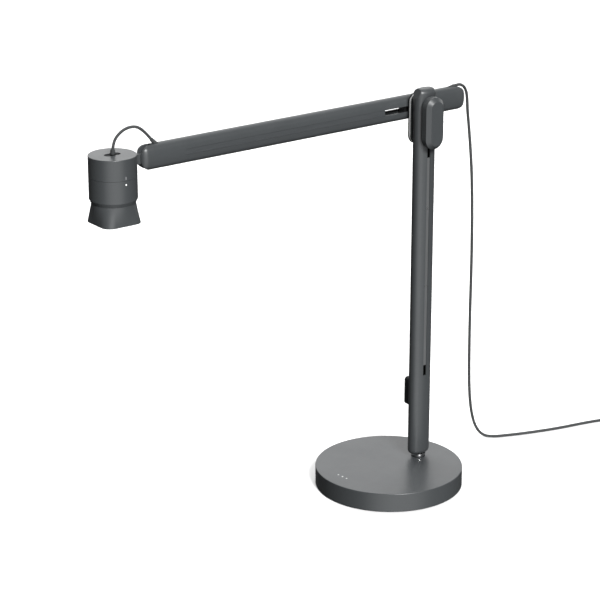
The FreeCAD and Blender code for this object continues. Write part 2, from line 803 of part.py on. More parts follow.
def lead_entry(label):
    """The slanting hole in the beam's top that the head's lead goes into."""
    turn = leaning(BEAM_SLEEVE_START, LEAD_END)
    return cylinder("lead_entry_" + label, "lead_radius + 1.6", "30", BEAM_SLEEVE_START, turn)


def relief_hole(label):
    """The slanting hole in the beam's top that the cord comes out of."""
    turn = leaning(RELIEF_START, CORD_ROUTE[0])
    return cylinder("relief_hole_" + label, "cord_radius + 1.6", "35", RELIEF_START, turn)


def leaning(start, end):
    """The rotation that turns local z to the way from start to end."""
    return Rotation(Vector(0, 0, 1), Vector(*end) - Vector(*start))


# ---------------------------------------------------------------- head


def make_head():
    head_x = -size("head_reach")
    seam = size("head_seam")
    top = size("head_top")
    neck_top = size("neck_top")

    shell = new_body("housing_shell", (head_x, beam_y, seam))
    disc = new_sketch(shell, "housing_disc")
    disc.addGeometry(Part.Circle(Vector(0, 0, 0), Vector(0, 0, 1), size("head_radius")), False)
    disc.addConstraint(Sketcher.Constraint("Coincident", 0, 3, -1, 1))
    dimension(disc, "rim", Sketcher.Constraint("Radius", 0, size("head_radius")), "head_radius")
    drum = pad(shell, disc, "head_top - head_seam")
    round_edges(shell, drum, top - seam, "0.8")
    hollow_tall = "head_top - head_seam - 2.5"
    hollow = cylinder("housing_hollow", "head_radius - 2.5", hollow_tall, (head_x, beam_y, seam))
    opening = stadium_plate("housing_opening", "12", "23", "6", (head_x, beam_y, top - 4), UPRIGHT)
    opening.Placement = Placement(Vector(head_x, beam_y, top - 4), Rotation(Vector(0, 0, 1), 90))
    line_place = (head_x - 0.5, beam_y - size("head_radius") - 0.1, seam + 1.2)
    line_slot = box("housing_line_slot", "1", "0.9", "4", line_place)
    keep(cut("head_housing", shell, hollow, opening, line_slot))
    keep(box("housing_mark", "1", "0.9", "4", line_place))

    # The core carries the lamp holder, and the dimmer ring turns on its lower sleeve.
    disc_low = seam + 2
    upper = cylinder("core_disc", "head_radius - 2.5", "12", (head_x, beam_y, disc_low))
    sleeve_place = (head_x, beam_y, neck_top - 2)
    sleeve_tall = "%s" % (disc_low - neck_top + 2)
    hollow_tall = "%s" % (seam - 3 - neck_top + 2)
    sleeve = cylinder("core_sleeve", "core_radius", sleeve_tall, sleeve_place)
    hollow = cylinder("core_hollow", "core_radius - 1.2", hollow_tall, sleeve_place)
    holder_bore = cylinder("core_holder_bore", "13", "12", (head_x, beam_y, seam - 5))
    keep(cut("head_core", fuse("core_blank", upper, sleeve), hollow, holder_bore))
    cap_low = seam + 14
    keep(cylinder("head_driver", "head_radius - 4", "8", (head_x, beam_y, cap_low)))

    ring_low = size("ring_low")
    drum = cylinder("ring_drum", "head_radius", "head_seam - 0.3 - ring_low", (head_x, beam_y, ring_low))
    skirt_place = (head_x, beam_y, neck_top + 0.2)
    skirt = cone("ring_skirt", "neck_radius", "head_radius", "ring_low - neck_top - 0.2", skirt_place)
    bore = cylinder("ring_bore_hole", "ring_bore", "60", (head_x, beam_y, neck_top - 5))
    dot_place = (head_x, beam_y - size("head_radius") + 0.8, seam - 5.2)
    dot_hole = cylinder("ring_dot_hole", "1.1", "2", dot_place, FACING_FRONT)
    keep(cut("dimmer_ring", fuse("ring_blank", drum, skirt), bore, dot_hole))
    keep(cylinder("ring_mark", "1.1", "0.9", dot_place, FACING_FRONT))

    make_shade(head_x, neck_top)
    make_lamp(head_x, neck_top, seam)

    lug_z = joint_z
    reach = size("pin_reach")
    radius = size("lug_radius")
    thick = size("lug_thick")
    eye = cylinder("lug_eye", "lug_radius", "lug_thick", (-reach, beam_y - thick / 2, lug_z), FACING_BACK)
    bar_place = (head_x, beam_y - thick / 2, lug_z - radius)
    bar = box("lug_bar", "head_reach - pin_reach", "lug_thick", "2 * lug_radius", bar_place)
    drum = cylinder("lug_trim", "head_radius", "60", (head_x, beam_y, lug_z - 30))
    bore = cylinder("lug_bore", "pin_bore", "20", (-reach, beam_y - 10, lug_z), FACING_BACK)
    keep(cut("hinge_lug", fuse("lug_blank", eye, bar), drum, bore))


def make_shade(head_x, neck_top):
    """Round at the neck and square at the mouth."""
    tall = neck_top - size("shade_low") - 2
    side = size("shade_side")
    corner = size("shade_corner")
    neck = size("neck_radius")
    wall = 1.8
    body = new_body("shade_loft", (head_x, beam_y, size("shade_low")))
    mouth = new_sketch(body, "shade_mouth")
    rounded_square(mouth, side, corner)
    top = new_sketch(body, "shade_top", tall)
    split_circle(top, neck, side, corner)
    loft = body.newObject("PartDesign::AdditiveLoft", "shade_outside")
    loft.Profile = mouth
    loft.Sections = [top]
    loft.Ruled = True
    doc.recompute()
    inner_mouth = new_sketch(body, "shade_inner_mouth")
    rounded_square(inner_mouth, side - 2 * wall, corner - wall)
    inner_top = new_sketch(body, "shade_inner_top", tall)
    split_circle(inner_top, neck - wall + 0.2, side - 2 * wall, corner - wall)
    hollow = body.newObject("PartDesign::SubtractiveLoft", "shade_inside")
    hollow.Profile = inner_mouth
    hollow.Sections = [inner_top]
    hollow.Ruled = True
    doc.recompute()
    collar = tube("shade_collar", "neck_radius", "core_radius", "2", (head_x, beam_y, neck_top - 2))
    keep(fuse("shade", body, collar))


def make_lamp(head_x, neck_top, seam):
    """A 50 mm spot bulb in its holder."""
    holder_low = seam - 8
    keep(cylinder("lamp_holder", "13", "15", (head_x, beam_y, holder_low)))
    rim_low = neck_top - 13.6
    rim = cylinder("bulb_rim", "24.6", "4", (head_x, beam_y, rim_low))
    bell = cone("bulb_bell", "24.6", "12", "24", (head_x, beam_y, rim_low + 4))
    stem = cylinder("bulb_stem", "12", "%s" % (holder_low - rim_low - 28), (head_x, beam_y, rim_low + 28))
    dish = cone("bulb_dish", "23", "6", "14", (head_x, beam_y, rim_low))
    keep(cut("bulb_body", fuse("bulb_blank", rim, bell, stem), dish))
    keep(cylinder("bulb_glass", "21.5", "1", (head_x, beam_y, rim_low + 0.1)))


# ---------------------------------------------------------------- leads and cord

# The head's lead leaves the drum's top, arches over the gap and enters the beam's top.
LEAD_START = (-427.6, 32.0, 558.6)
LEAD_END = (-369.5, 32.0, 562.5)
BEAM_SLEEVE_START = (-355.3, 32.0, 548.3)
LEAD_ROUTE = [
    LEAD_START,
    (-427.6, 32.0, 569.6),
    (-421.4, 32.0, 579.2),
    (-409.2, 32.0, 584.8),
    (-394.4, 32.0, 584.2),
    (-380.6, 32.0, 573.6),
    LEAD_END,
]

# The cord leaves through the top of the beam's rear cap, goes over the end and hangs down to the table.
RELIEF_START = (112.0, 32.0, 551.9)
CORD_ROUTE = [
    (132.8, 32.0, 557.4),
    (143.0, 32.0, 560.1),
    (152.8, 33.0, 558.2),
    (160.8, 35.0, 552.3),
    (165.4, 37.4, 543.6),
    (166.9, 39.2, 530.6),
    (168.9, 40.0, 512.0),
    (172.2, 40.1, 484.0),
    (176.0, 40.0, 438.0),
    (178.8, 39.8, 382.0),
    (180.4, 39.8, 324.0),
    (180.9, 40.0, 266.0),
    (180.7, 40.2, 208.0),
    (181.1, 40.2, 152.0),
    (182.2, 40.4, 108.0),
    (184.8, 40.6, 72.0),
    (190.2, 40.8, 43.0),
    (199.0, 40.6, 20.5),
    (211.4, 38.8, 6.6),
    (226.4, 34.0, 2.3),
    (246.0, 26.0, 2.2),
    (277.0, 14.4, 2.2),
    (326.0, 0.4, 2.2),
    (378.0, -8.6, 2.2),
    (410.0, -16.9, 2.2),
    (427.6, -21.6, 2.2),
]
COIL_CENTRE = (420.0, -50.0)
TAIL_ROUTE = [
    (449.4, -50.0, 6.4),
    (449.0, -62.0, 5.0),
    (447.4, -76.0, 2.5),
    (445.0, -88.0, 3.0),
    (444.0, -99.0, 6.9),
    (444.0, -110.0, 6.9),
]


def arc_radius(before, corner, after):
    """The largest tangent arc that the two runs at a corner leave room for."""
    into = (corner - before).normalize()
    out = (after - corner).normalize()
    turn = into.getAngle(out)
    shorter = min((corner - before).Length, (after - corner).Length)
    return 0.45 * shorter / math.tan(turn / 2), turn


def route_wire(points):
    """Straight runs joined by tangent arcs."""
    points = [Vector(*point) for point in points]
    edges = []
    start = points[0]
    radii = []
    for before, corner, after in zip(points, points[1:], points[2:]):
        radius, turn = arc_radius(before, corner, after)
        radii.append(round(radius, 1))
        into = (corner - before).normalize()
        out = (after - corner).normalize()
        trim = radius * math.tan(turn / 2)
        first = corner - into * trim
        last = corner + out * trim
        towards = (out - into).normalize()
        middle = corner + towards * (radius / math.cos(turn / 2) - radius)
        edges.append(Part.LineSegment(start, first).toShape())
        edges.append(Part.Arc(first, middle, last).toShape())
        start = last
    edges.append(Part.LineSegment(start, points[-1]).toShape())
    return Part.Wire(edges), radii


def cord_tube(label, points, radius):
    """A round cord along a route."""
    wire, radii = route_wire(points)
    start = Vector(*points[0])
    heading = (Vector(*points[1]) - start).normalize()
    ring = Part.Wire([Part.Circle(start, heading, radius).toShape()])
    solid = wire.makePipeShell([ring], True, False)
    piece = doc.addObject("Part::Feature", label)
    piece.Shape = solid
    piece.Placement = Placement()
    expected = math.pi * radius**2 * wire.Length
    print("%s length %.1f volume %.1f of %.1f radii %s" % (label, wire.Length, solid.Volume, expected, radii))
    return keep(piece)


def make_head_lead():
    start_x, start_y, start_z = LEAD_START
    drum_top = size("head_top")
    middle = Vector(-size("head_reach"), start_y, drum_top - 3.3)
    plate = stadium_plate("grommet_plate", "12", "23", "2.5", tuple(middle), UPRIGHT)
    plate.Placement = Placement(middle, Rotation(Vector(0, 0, 1), 90))
    low_z = drum_top - 0.8
    nozzle = cone("grommet_nozzle", "3.5", "2.9", "%s" % (start_z - low_z), (start_x, start_y, low_z))
    keep(fuse("head_grommet", plate, nozzle))
    sleeve_long = "%s" % (Vector(*LEAD_END) - Vector(*BEAM_SLEEVE_START)).Length
    turn = leaning(BEAM_SLEEVE_START, LEAD_END)
    keep(cone("beam_sleeve", "lead_radius + 1.5", "lead_radius + 0.6", sleeve_long, BEAM_SLEEVE_START, turn))
    cord_tube("head_lead", LEAD_ROUTE, size("lead_radius"))


def make_cord():
    turn = leaning(RELIEF_START, CORD_ROUTE[0])
    relief_long = "%s" % (Vector(*CORD_ROUTE[0]) - Vector(*RELIEF_START)).Length
    keep(cone("cord_relief", "cord_radius + 1.5", "cord_radius + 0.6", relief_long, RELIEF_START, turn))
    cord_tube("cord_tube", CORD_ROUTE, size("cord_radius"))
    mean = size("coil_mean_radius")
    spread = 4 * size("cord_radius") + 0.2
    place = (*COIL_CENTRE, 0.05)
    tall = "4 * cord_radius + 0.2"
    wound = tube("cord_coil", "%s" % (mean + spread), "%s" % (mean - spread), tall, place)
    keep(wound)
    cord_tube("cord_tail", TAIL_ROUTE, size("cord_radius"))


def make_plug():
    """A flat two-pin plug on the table beside the coil."""
    x, y, z = TAIL_ROUTE[-1]
    relief_long = 20.0
    nozzle = cone("plug_nozzle", "cord_radius + 0.5", "4.6", "%s" % relief_long, (x, y, z), FACING_FRONT)
    body = new_body("plug_block", (x, y - relief_long - size("plug_long") / 2, 0.05))
    outline = new_sketch(body, "plug_outline")
    rounded_rectangle(outline, size("plug_wide"), size("plug_long"), 2.8)
    block = pad(body, outline, "plug_thick")
    block = round_edges(body, block, size("plug_thick"), "2.2")
    round_edges(body, block, 0, "2.2")
    keep(fuse("plug_body", nozzle, body))
    face = y - relief_long - size("plug_long")
    pins = [
        cylinder("plug_pin_%d" % number, "2", "19", (x + side, face, z), FACING_FRONT)
        for number, side in enumerate((-9.0, 9.0))
    ]
    keep(fuse("plug_pins", *pins))


# ---------------------------------------------------------------- build and write


def check_document():
    failed = [item.Label for item in doc.Objects if {"Invalid", "Error"} & set(item.State)]
    if failed:
        raise RuntimeError("objects failed: %s" % ", ".join(failed))
    for piece in nodes:
        if piece.Shape.isNull() or not piece.Shape.isValid() or not piece.Shape.Solids:
            raise RuntimeError("bad shape: %s" % piece.Label)
    labels = [piece.Label for piece in nodes]
    if len(set(labels)) != len(labels):
        raise RuntimeError("labels repeat")


def write_nodes():
    os.makedirs("parts", exist_ok=True)
    for piece in nodes:
        piece.Shape.exportStep("parts/%s.step" % piece.Label)
        solids = len(piece.Shape.Solids)
        print("%-22s solids %d volume %.0f" % (piece.Label, solids, piece.Shape.Volume))


make_base()
make_swivel()
make_post()
make_clip()
make_joint()
make_saddle()
make_beam()
make_head()
make_head_lead()
make_cord()
make_plug()
doc.recompute()
check_document()
write_nodes()
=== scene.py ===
import math

import bmesh
import bpy
from mathutils import Matrix, Vector


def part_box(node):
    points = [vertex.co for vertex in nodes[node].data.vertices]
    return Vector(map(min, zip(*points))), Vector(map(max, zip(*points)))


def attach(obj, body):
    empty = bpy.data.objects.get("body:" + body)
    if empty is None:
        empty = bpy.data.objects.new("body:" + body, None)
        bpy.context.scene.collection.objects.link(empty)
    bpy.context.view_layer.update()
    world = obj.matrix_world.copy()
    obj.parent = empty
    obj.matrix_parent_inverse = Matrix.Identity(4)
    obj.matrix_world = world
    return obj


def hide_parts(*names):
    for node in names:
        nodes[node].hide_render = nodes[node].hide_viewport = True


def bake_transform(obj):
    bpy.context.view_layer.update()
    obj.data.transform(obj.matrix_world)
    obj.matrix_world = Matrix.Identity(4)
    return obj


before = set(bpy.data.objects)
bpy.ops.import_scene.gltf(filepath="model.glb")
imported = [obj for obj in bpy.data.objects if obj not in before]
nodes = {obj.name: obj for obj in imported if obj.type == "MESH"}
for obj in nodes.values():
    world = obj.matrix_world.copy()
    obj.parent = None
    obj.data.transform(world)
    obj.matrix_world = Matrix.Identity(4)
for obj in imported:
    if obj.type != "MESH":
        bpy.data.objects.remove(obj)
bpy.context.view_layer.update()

# ---------------------------------------------------------------- camera

CAMERA_AT = (-1.8971, -2.3592, 1.348)
CAMERA_PITCH = 70.5
CAMERA_TURN = -36.4
CAMERA_LENS = 138.0

camera_data = bpy.data.cameras.new("camera")
camera_data.lens = CAMERA_LENS
camera_data.sensor_width = 36.0
camera_data.clip_end = 60.0
camera = bpy.data.objects.new("camera", camera_data)
camera.location = CAMERA_AT
camera.rotation_euler = (math.radians(CAMERA_PITCH), 0.0, math.radians(CAMERA_TURN))
bpy.context.scene.collection.objects.link(camera)
bpy.context.scene.camera = camera

# ---------------------------------------------------------------- shader helpers

# The pointiness at which an edge begins to show wear, and at which it shows all of it.
EDGE_SPAN = (0.62, 0.75)
GRAIN = 0.00003


class Paper:
    """A material's node tree with short ways to add nodes."""

    def __init__(self, name):
        self.material = bpy.data.materials.new(name)
        self.material.use_nodes = True
        self.tree = self.material.node_tree
        self.shader = self.tree.nodes["Principled BSDF"]
        self.place = self.tree.nodes.new("ShaderNodeTexCoord").outputs["Object"]

    def add(self, kind, **values):
        node = self.tree.nodes.new(kind)
        for key, value in values.items():
            setattr(node, key, value)
        return node

    def join(self, source, target):
        self.tree.links.new(source, target)

    def stretch(self, factors):
        """The place, scaled apart along x, y and z."""
        mapping = self.add("ShaderNodeMapping")
        mapping.inputs["Scale"].default_value = factors
        self.join(self.place, mapping.inputs["Vector"])
        return mapping.outputs["Vector"]

    def noise(self, scale, detail=2.0, rough=0.5, place=None):
        node = self.add("ShaderNodeTexNoise")
        node.inputs["Scale"].default_value = scale
        node.inputs["Detail"].default_value = detail
        node.inputs["Roughness"].default_value = rough
        self.join(place or self.place, node.inputs["Vector"])
        return node.outputs["Fac"]

    def span(self, source, low, high, start=0.3, end=0.7):
        """The source from start to end, as a number from low to high."""
        node = self.add("ShaderNodeMapRange")
        node.inputs["From Min"].default_value = start
        node.inputs["From Max"].default_value = end
        node.inputs["To Min"].default_value = low
        node.inputs["To Max"].default_value = high
        self.join(source, node.inputs["Value"])
        return node.outputs["Result"]

    def mix(self, share, first, second):
        """first where share, an output, is 0 and second where it is 1; each a colour or an output."""
        node = self.add("ShaderNodeMix", data_type="RGBA")
        for socket, value in ((node.inputs[6], first), (node.inputs[7], second)):
            if isinstance(value, bpy.types.NodeSocket):
                self.join(value, socket)
            else:
                socket.default_value = (*value, 1.0)
        self.join(share, node.inputs[0])
        return node.outputs[2]

    def sum(self, kind, first, second):
        node = self.add("ShaderNodeMath", operation=kind)
        for socket, value in ((node.inputs[0], first), (node.inputs[1], second)):
            if isinstance(value, bpy.types.NodeSocket):
                self.join(value, socket)
            else:
                socket.default_value = value
        return node.outputs[0]

    def edges(self):
        """1 on convex edges, 0 on flat faces."""
        geometry = self.add("ShaderNodeNewGeometry")
        return self.span(geometry.outputs["Pointiness"], 0.0, 1.0, *EDGE_SPAN)

    def bump(self, height, distance, strength):
        node = self.add("ShaderNodeBump")
        node.inputs["Distance"].default_value = distance
        node.inputs["Strength"].default_value = strength
        self.join(height, node.inputs["Height"])
        return node.outputs["Normal"]

    def finish(self, colour, roughness=None, normal=None, **values):
        self.join(colour, self.shader.inputs["Base Color"])
        if roughness is not None:
            self.join(roughness, self.shader.inputs["Roughness"])
        if normal is not None:
            self.join(normal, self.shader.inputs["Normal"])
        for key, value in values.items():
            self.shader.inputs[key.replace("_", " ")].default_value = value
        return self.material


def tinted(tone, share):
    """A colour made lighter or darker by a share."""
    return [share * c for c in tone]


def satin_paint(name, tone, rough=0.34):
    """Satin powder coat: close dark greys in soft clouds, fine orange peel and slightly worn edges."""
    paper = Paper(name)
    clouds = paper.span(paper.noise(9.0, 3.0), 0.0, 1.0)
    speck = paper.span(paper.noise(2600.0, 1.0), 0.0, 1.0, 0.35, 0.65)
    body = paper.mix(clouds, tinted(tone, 0.95), tinted(tone, 1.05))
    body = paper.mix(paper.sum("MULTIPLY", speck, 0.16), body, tinted(tone, 1.6))
    patches = paper.span(paper.noise(160.0, 3.0), 0.0, 0.3, 0.42, 0.62)
    wear = paper.sum("MULTIPLY", paper.edges(), patches)
    body = paper.mix(wear, body, tinted(tone, 1.9))
    smudge = paper.span(paper.noise(26.0, 4.0, 0.6), -0.03, 0.04)
    fine = paper.span(speck, -0.02, 0.02, 0.0, 1.0)
    roughness = paper.sum("ADD", paper.sum("ADD", smudge, fine), rough)
    peel = paper.bump(paper.noise(1500.0, 2.0), GRAIN, 0.4)
    return paper.finish(body, roughness, peel)


def brushed_paint(name, tone, rough, along):
    """Dark anodised metal with fine brush lines along one axis."""
    paper = Paper(name)
    factors = [1.0, 1.0, 1.0]
    factors["xyz".index(along)] = 0.02
    lines = paper.noise(2400.0, 2.0, 0.6, paper.stretch(factors))
    clouds = paper.span(paper.noise(14.0, 2.0), 0.0, 1.0)
    body = paper.mix(clouds, tinted(tone, 0.95), tinted(tone, 1.05))
    body = paper.mix(paper.span(lines, 0.0, 0.4), body, tinted(tone, 1.5))
    roughness = paper.sum("ADD", paper.span(lines, -0.05, 0.05), rough)
    return paper.finish(body, roughness, paper.bump(lines, 0.00002, 0.5), Metallic=0.35)


def moulded(name, tone, rough, grain=1.0, gloss=0.5):
    """Moulded plastic or rubber with a fine spark-eroded grain."""
    paper = Paper(name)
    cells = paper.add("ShaderNodeTexVoronoi", feature="SMOOTH_F1")
    cells.inputs["Scale"].default_value = 1700.0
    paper.join(paper.place, cells.inputs["Vector"])
    clouds = paper.span(paper.noise(30.0, 3.0), 0.0, 1.0)
    body = paper.mix(clouds, tinted(tone, 0.9), tinted(tone, 1.12))
    roughness = paper.sum("ADD", paper.span(paper.noise(60.0, 3.0), -0.04, 0.05), rough)
    paper.shader.inputs["Specular IOR Level"].default_value = gloss
    return paper.finish(body, roughness, paper.bump(cells.outputs["Distance"], 0.00004 * grain, 0.55))


def grommet(name, low, high, height):
    """Rubber in cord grey above a height; below it, sunk in its opening, painted shade: near black for
    the dark hole around the lead.
    """
    paper = Paper(name)
    split = paper.add("ShaderNodeSeparateXYZ")
    paper.join(paper.place, split.inputs["Vector"])
    # Painted shade: below the height the rubber is coloured near black, standing in for the shaded hole
    # around the lead; above it, its own cord grey.
    share = paper.span(split.outputs["Z"], 0.0, 1.0, height - GROMMET_SHADE_BLUR, height + GROMMET_SHADE_BLUR)
    body = paper.mix(share, low, high)
    body = paper.mix(paper.span(paper.noise(900.0, 2.0), 0.0, 0.2), body, tinted(high, 1.4))
    paper.shader.inputs["Specular IOR Level"].default_value = 0.12
    roughness = paper.span(paper.noise(60.0), 0.62, 0.72)
    grain = paper.bump(paper.noise(1500.0), GRAIN, 0.5)
    return paper.finish(body, roughness, grain)


def pale_sheet(name, tone):
    """A pale satin sheet with faint rolling lines along z."""
    paper = Paper(name)
    lines = paper.noise(1900.0, 2.0, 0.6, paper.stretch((1.0, 1.0, 0.03)))
    body = paper.mix(paper.span(lines, 0.0, 0.5), tone, tinted(tone, 0.88))
    roughness = paper.span(lines, 0.28, 0.38)
    return paper.finish(body, roughness, paper.bump(lines, 0.00001, 0.5), Metallic=0.15)


def bare_metal(name, tone, rough, scratches):
    """Bare metal, a little cloudy, with fine marks all over."""
    paper = Paper(name)
    marks = paper.noise(1500.0, 3.0, 0.6)
    clouds = paper.span(paper.noise(40.0, 3.0), 0.0, 1.0)
    body = paper.mix(clouds, tinted(tone, 0.9), tone)
    body = paper.mix(paper.span(marks, 0.0, scratches), body, tinted(tone, 0.7))
    roughness = paper.sum("ADD", paper.span(marks, -0.04, 0.06), rough)
    return paper.finish(body, roughness, paper.bump(marks, 0.00001, 0.5), Metallic=1.0)


def cast(name, tone):
    """Rough cast iron."""
    paper = Paper(name)
    lumps = paper.noise(420.0, 5.0, 0.65)
    body = paper.mix(paper.span(lumps, 0.0, 1.0), tinted(tone, 0.7), tinted(tone, 1.3))
    return paper.finish(body, paper.span(lumps, 0.6, 0.8), paper.bump(lumps, 0.0004, 0.7), Metallic=0.6)


def frosted_glass(name):
    """The bulb's cover: frosted and finely dimpled."""
    paper = Paper(name)
    dimples = paper.add("ShaderNodeTexVoronoi", feature="SMOOTH_F1")
    dimples.inputs["Scale"].default_value = 520.0
    paper.join(paper.place, dimples.inputs["Vector"])
    tint = paper.mix(paper.span(paper.noise(40.0), 0.0, 1.0), (0.80, 0.81, 0.80), (0.90, 0.90, 0.88))
    roughness = paper.span(paper.noise(90.0), 0.30, 0.42)
    relief = paper.bump(dimples.outputs["Distance"], 0.0003, 0.4)
    return paper.finish(tint, roughness, relief, IOR=1.45, Transmission_Weight=0.55)


def printed(name, tone):
    """A printed mark with slightly uneven ink."""
    paper = Paper(name)
    ink = paper.span(paper.noise(3000.0, 2.0), 0.0, 1.0)
    body = paper.mix(ink, tinted(tone, 0.86), tone)
    return paper.finish(body, paper.span(ink, 0.42, 0.55, 0.0, 1.0))


GREY = (0.036, 0.0392, 0.0412)
# Painted shade: the grommet's sunk part gets this near black for the dark hole around the head's lead;
# it is not the rubber's own colour.
HOLE_SHADE_BLACK = (0.004, 0.004, 0.0045)
GREY_RUBBER = (0.034, 0.036, 0.037)
# The height below which the grommet is coloured with that painted shade, and how softly the painted
# shade sets in.
GROMMET_SHADE_HEIGHT = 0.5532
GROMMET_SHADE_BLUR = 0.0004

PAINT = satin_paint("anthracite", GREY)
PAINT_CAP = satin_paint("anthracite_cap", tinted(GREY, 0.96), 0.42)
STRIP_POST = brushed_paint("strip_post", (0.09, 0.093, 0.095), 0.42, "z")
STRIP_BEAM = brushed_paint("strip_beam", (0.048, 0.052, 0.055), 0.42, "x")
PLASTIC = moulded("black_plastic", (0.013, 0.014, 0.015), 0.55, 1.0, 0.3)
LINER = moulded("slot_black", (0.006, 0.006, 0.0065), 0.65, 1.0, 0.15)
CORD_SKIN = moulded("cord_skin", (0.042, 0.044, 0.045), 0.66, 0.6, 0.1)
PLUG_SKIN = moulded("plug_skin", GREY_RUBBER, 0.46, 1.2, 0.4)
RUBBER = moulded("rubber", (0.03, 0.031, 0.032), 0.62)
POLISHED = bare_metal("polished", (0.86, 0.86, 0.86), 0.16, 0.1)
TURNED = bare_metal("turned", (0.78, 0.78, 0.79), 0.3, 0.25)
PLATED = bare_metal("zinc_plated", (0.6, 0.61, 0.62), 0.34, 0.35)
IRON = cast("cast_iron", (0.12, 0.12, 0.125))
SADDLE = bare_metal("dark_turned", (0.16, 0.16, 0.165), 0.36, 0.3)
# The head grommet's material carries painted shade on its sunk part.
GROMMET = grommet("head_grommet_painted_shade", HOLE_SHADE_BLACK, GREY_RUBBER, GROMMET_SHADE_HEIGHT)
PALE_SHEET = pale_sheet("pale_sheet", (0.82, 0.83, 0.82))
FROSTED = frosted_glass("bulb_frost")
WHITE_MARK = printed("mark_white", (0.8, 0.8, 0.79))
GREY_MARK = printed("mark_grey", (0.22, 0.225, 0.23))
DOT_MARK = printed("mark_dots", (0.46, 0.465, 0.47))

FINISH = {
    "foot_pad": RUBBER,
    "bottom_plate": PLATED,
    "base_weight": IRON,
    "base_screws": PLATED,
    "base_cover": PAINT,
    "swivel_bush": PLASTIC,
    "plug_body": PLUG_SKIN,
    "plug_pins": TURNED,
    "swivel_stud_bolt": PLATED,
    "swivel_collar": POLISHED,
    "swivel_washer": PLATED,
    "swivel_nut": PLATED,
    "post_tube": PAINT,
    "post_top_cap": PAINT_CAP,
    "post_bottom_cap": PAINT_CAP,
    "post_strip_front": STRIP_POST,
    "post_strip_rear": STRIP_POST,
    "post_liner": LINER,
    "post_strip_screws": PLATED,
    "cord_clip": PLASTIC,
    "cord_clip_screws": PLATED,
    "front_glide": PLASTIC,
    "slot_key": PLASTIC,
    "far_pad": PAINT,
    "far_plate": PALE_SHEET,
    "far_shim": PLASTIC,
    "joint_shaft": POLISHED,
    "lock_nut": TURNED,
    "clamp_knob": PAINT,
    "knob_insert": TURNED,
    "saddle_core": SADDLE,
    "saddle_washer_front": POLISHED,
    "saddle_washer_rear": PLASTIC,
    "beam_tube": PAINT,
    "beam_front_cap": PAINT_CAP,
    "hinge_pin": PAINT_CAP,
    "beam_rear_cap": PAINT_CAP,
    "beam_strip_front": STRIP_BEAM,
    "beam_strip_rear": STRIP_BEAM,
    "beam_liner": LINER,
    "beam_inner_lead": CORD_SKIN,
    "beam_sleeve": CORD_SKIN,
    "cord_relief": CORD_SKIN,
    "head_housing": PAINT,
    "housing_mark": GREY_MARK,
    "head_core": TURNED,
    "head_driver": PLASTIC,
    "shade": PAINT,
    "lamp_holder": PLASTIC,
    "bulb_body": TURNED,
    "bulb_glass": FROSTED,
    "hinge_lug": PAINT_CAP,
    "head_grommet": GROMMET,
    "dimmer_ring": PAINT,
    "ring_mark": WHITE_MARK,
}


def paint(piece, material):
    piece.data.materials.clear()
    piece.data.materials.append(material)


for node, material in FINISH.items():
    paint(nodes[node], material)

# ---------------------------------------------------------------- printed dots on the base

DOT_PLACES = ((-0.081, 0.0125), (-0.0802, 0.004), (-0.0794, -0.0045))
DOT_RADIUS = 0.0012
DOT_THICK = 0.00006
DOT_TAPER = 0.92
DOT_SIDES = 32


def printed_dots():
    """Three small generic dots printed on the base's top."""
    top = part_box("base_cover")[1][2]
    shape = bmesh.new()
    for x, y in DOT_PLACES:
        place = Matrix.Translation((x, y, top + DOT_THICK / 2))
        bmesh.ops.create_cone(
            shape,
            cap_ends=True,
            segments=DOT_SIDES,
            radius1=DOT_RADIUS,
            radius2=DOT_TAPER * DOT_RADIUS,
            depth=DOT_THICK,
            matrix=place,
        )
    mesh = bpy.data.meshes.new("base_dots")
    shape.to_mesh(mesh)
    shape.free()
    piece = bpy.data.objects.new("base_dots", mesh)
    bpy.context.scene.collection.objects.link(piece)
    paint(piece, DOT_MARK)
    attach(piece, "base")


printed_dots()

# ---------------------------------------------------------------- cords

CORD_WIDE = 0.0042
LEAD_WIDE = 0.0040

LEAD_START = (-0.4276, 0.032, 0.5586)
LEAD_ROUTE = [
    LEAD_START,
    (-0.4262, 0.032, 0.5676),
    (-0.4198, 0.032, 0.5766),
    (-0.4076, 0.032, 0.5836),
    (-0.3914, 0.032, 0.5838),
    (-0.3782, 0.032, 0.5733),
    (-0.3695, 0.032, 0.5625),
]

CORD_START = (0.1328, 0.032, 0.5574)
CORD_ROUTE = [
    CORD_START,
    (0.1412, 0.032, 0.5586),
    (0.1492, 0.0324, 0.5559),
    (0.1553, 0.0333, 0.5499),
    (0.159, 0.0344, 0.5416),
    (0.1612, 0.0356, 0.5318),
    (0.1636, 0.0372, 0.516),
    (0.1692, 0.039, 0.4865),
    (0.1737, 0.0398, 0.454),
    (0.1772, 0.040, 0.418),
    (0.1792, 0.0399, 0.374),
    (0.1804, 0.0398, 0.324),
    (0.1809, 0.040, 0.266),
    (0.1807, 0.0402, 0.208),
    (0.1811, 0.0402, 0.152),
    (0.1822, 0.0404, 0.108),
    (0.1848, 0.0406, 0.072),
    (0.1902, 0.0408, 0.043),
    (0.199, 0.0406, 0.0205),
    (0.2114, 0.0388, 0.0066),
    (0.2264, 0.034, 0.0023),
    (0.246, 0.026, 0.0022),
    (0.277, 0.0144, 0.0022),
    (0.326, 0.0004, 0.0022),
    (0.378, -0.0086, 0.0022),
    (0.410, -0.0169, 0.0022),
]

COIL_CENTRE = (0.420, -0.050)
COIL_OUTER = 0.0295
COIL_INNER = 0.0168
COIL_LOW = 0.0022
COIL_HIGH = 0.0064
COIL_START_ANGLE = 75.0
STEPS_PER_TURN = 16
# The share of a turn over which the cord climbs from the floor onto the turns below it.
CLIMB_TURN = 0.7
TURNS_LOW = 3.0
TURNS_HIGH = 3.0 + COIL_START_ANGLE / 360.0

TAIL_ROUTE = [
    (0.449, -0.062, 0.005),
    (0.4474, -0.076, 0.0025),
    (0.445, -0.088, 0.003),
    (0.444, -0.099, 0.0069),
    (0.444, -0.110, 0.0069),
]


